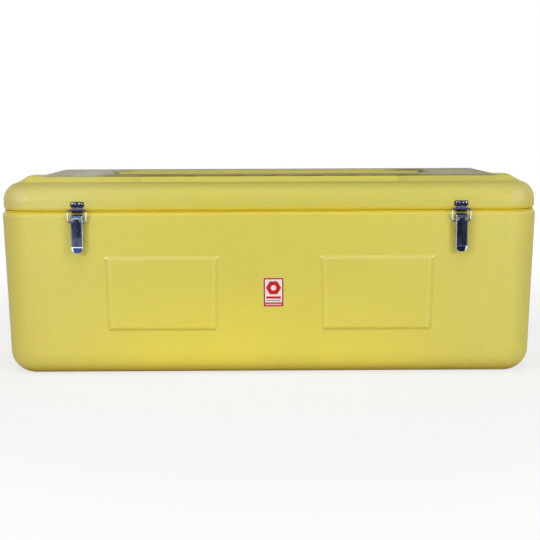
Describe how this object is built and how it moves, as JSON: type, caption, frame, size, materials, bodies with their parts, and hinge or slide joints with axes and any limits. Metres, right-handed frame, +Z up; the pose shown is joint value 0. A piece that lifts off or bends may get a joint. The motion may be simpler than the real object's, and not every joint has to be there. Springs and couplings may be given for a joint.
{
  "type": "toolbox",
  "caption": "Long moulded plastic storage chest with a tapered body, a hinged lid with a raised top and front toggle latches.",
  "frame": {"origin": "middle of the flat base, on the surface that the chest stands on", "axes": "+X along the front, to the right for someone who faces it; +Y from the front to the hinged back; +Z up"},
  "size_m": [1.1992, 0.5303, 0.4449],
  "materials": {
    "case_plastic": "semi-gloss moulded polyethylene with a fine grain",
    "lid_plastic": "semi-gloss moulded polyethylene with a fine grain",
    "seal_rubber": "matt closed-cell foam rubber",
    "label_vinyl": "gloss printed vinyl, white with a red border",
    "latch_zinc": "bright zinc plate",
    "lever_zinc": "bright zinc plate",
    "bail_zinc": "bright zinc plated wire",
    "rivet_zinc": "bright zinc plate",
    "backing_zinc": "dull zinc plate",
    "hinge_zinc": "bright zinc plate"
  },
  "bodies": {
    "case": {"case_shell": "case_plastic", "lid_seal": "seal_rubber", "front_label": "label_vinyl", "left_latch_base": "latch_zinc", "left_base_rivets": "rivet_zinc", "left_base_backing": "backing_zinc", "left_lever_pivot": "rivet_zinc", "right_latch_base": "latch_zinc", "right_base_rivets": "rivet_zinc", "right_base_backing": "backing_zinc", "right_lever_pivot": "rivet_zinc", "left_hinge_case_leaf": "hinge_zinc", "left_hinge_pin": "rivet_zinc", "middle_hinge_case_leaf": "hinge_zinc", "middle_hinge_pin": "rivet_zinc", "right_hinge_case_leaf": "hinge_zinc", "right_hinge_pin": "rivet_zinc", "hinge_case_rivets": "rivet_zinc", "hinge_case_backings": "backing_zinc"},
    "lid": {"lid_shell": "lid_plastic", "left_keeper": "latch_zinc", "left_keeper_rivets": "rivet_zinc", "left_keeper_backing": "backing_zinc", "right_keeper": "latch_zinc", "right_keeper_rivets": "rivet_zinc", "right_keeper_backing": "backing_zinc", "left_hinge_lid_leaf": "hinge_zinc", "middle_hinge_lid_leaf": "hinge_zinc", "right_hinge_lid_leaf": "hinge_zinc", "hinge_lid_rivets": "rivet_zinc", "hinge_lid_backings": "backing_zinc"},
    "left_lever_arm": {"left_lever": "lever_zinc"},
    "left_bail_wire": {"left_bail": "bail_zinc"},
    "right_lever_arm": {"right_lever": "lever_zinc"},
    "right_bail_wire": {"right_bail": "bail_zinc"}
  },
  "joints": [
    {"name": "lid_hinge", "type": "hinge", "parent": "case", "child": "lid", "pos_m": [0, 0.2565, 0.3688], "axis": [-1, 0, 0], "range_deg": [0, 100]},
    {"name": "left_lever_turn", "type": "hinge", "parent": "case", "child": "left_lever_arm", "pos_m": [-0.4217, -0.26008, 0.35564], "axis": [-1, 0, 0], "range_deg": [0, 100]},
    {"name": "left_bail_turn", "type": "hinge", "parent": "left_lever_arm", "child": "left_bail_wire", "pos_m": [-0.4217, -0.25825, 0.3453], "axis": [1, 0, 0], "range_deg": [0, 116]},
    {"name": "right_lever_turn", "type": "hinge", "parent": "case", "child": "right_lever_arm", "pos_m": [0.4217, -0.26008, 0.35564], "axis": [-1, 0, 0], "range_deg": [0, 100]},
    {"name": "right_bail_turn", "type": "hinge", "parent": "right_lever_arm", "child": "right_bail_wire", "pos_m": [0.4217, -0.25825, 0.3453], "axis": [1, 0, 0], "range_deg": [0, 116]}
  ],
  "couplings": [
    {"joint": "left_bail_turn", "follows": "left_lever_turn", "ratio": 1.16},
    {"joint": "right_bail_turn", "follows": "right_lever_turn", "ratio": 1.16}
  ]
}
